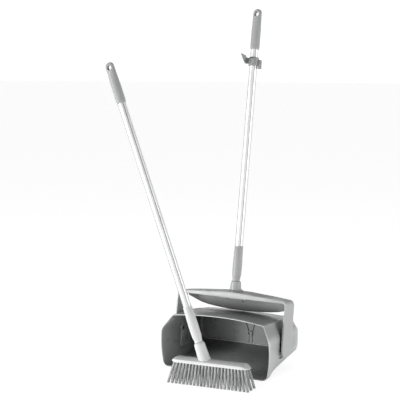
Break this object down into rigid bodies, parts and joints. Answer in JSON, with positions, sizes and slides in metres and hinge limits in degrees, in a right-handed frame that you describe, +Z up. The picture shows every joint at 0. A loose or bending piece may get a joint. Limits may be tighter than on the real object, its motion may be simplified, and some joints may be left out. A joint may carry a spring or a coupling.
{
  "type": "dust pan and brush set",
  "caption": "Upright hooded dust pan that swings in a yoke on a long handle with a broom clip, and a long-handled broom with an angled head.",
  "frame": {"origin": "middle of the flat land under the pan's front lip, on the floor", "axes": "+X across the mouth to its right seen from the front, +Y towards the back of the pan, +Z up"},
  "size_m": [0.4601, 0.4335, 1.059],
  "materials": {
    "pan_grey": "satin moulded plastic",
    "yoke_grey": "satin moulded plastic",
    "flap_grey": "fine matt moulding",
    "ferrule_grey": "fine matt moulding",
    "ferrule_light": "fine matt moulding",
    "block_light": "fine matt moulding",
    "grip_grey": "soft matt skin",
    "clip_grey": "fine matt moulding",
    "tube_alu": "drawn and anodised",
    "steel": "bright zinc",
    "black_plastic": "matt",
    "bristle": "split polyester fibres"
  },
  "bodies": {
    "pan": {"pan_body": "pan_grey", "pivot_pins": "steel", "pivot_bushes": "black_plastic", "pin_clips": "steel"},
    "handle": {"yoke": "yoke_grey", "closing_flap": "flap_grey", "flap_screws": "steel", "pan_ferrule": "ferrule_grey", "pan_ferrule_pin": "steel", "pan_tube": "tube_alu", "pan_plug": "black_plastic", "pan_grip": "grip_grey", "clip_body": "clip_grey", "clip_screw": "steel", "clip_nut": "steel"},
    "broom": {"broom_block": "block_light", "bristles_front": "bristle", "bristles_middle": "bristle", "bristles_rear": "bristle", "tuft_anchors": "steel", "broom_ferrule": "ferrule_light", "broom_ferrule_pin": "steel", "broom_tube": "tube_alu", "broom_plug": "black_plastic", "broom_grip": "grip_grey"}
  },
  "joints": [
    {"name": "yoke_swing", "type": "hinge", "parent": "pan", "child": "handle", "pos_m": [0, 0.092, 0.079], "axis": [1, 0, 0], "range_deg": [0, 56]},
    {"name": "broom_sweep", "type": "slide", "parent": "pan", "child": "broom", "axis": [0, -1, 0], "range_m": [0, 0.3]}
  ]
}
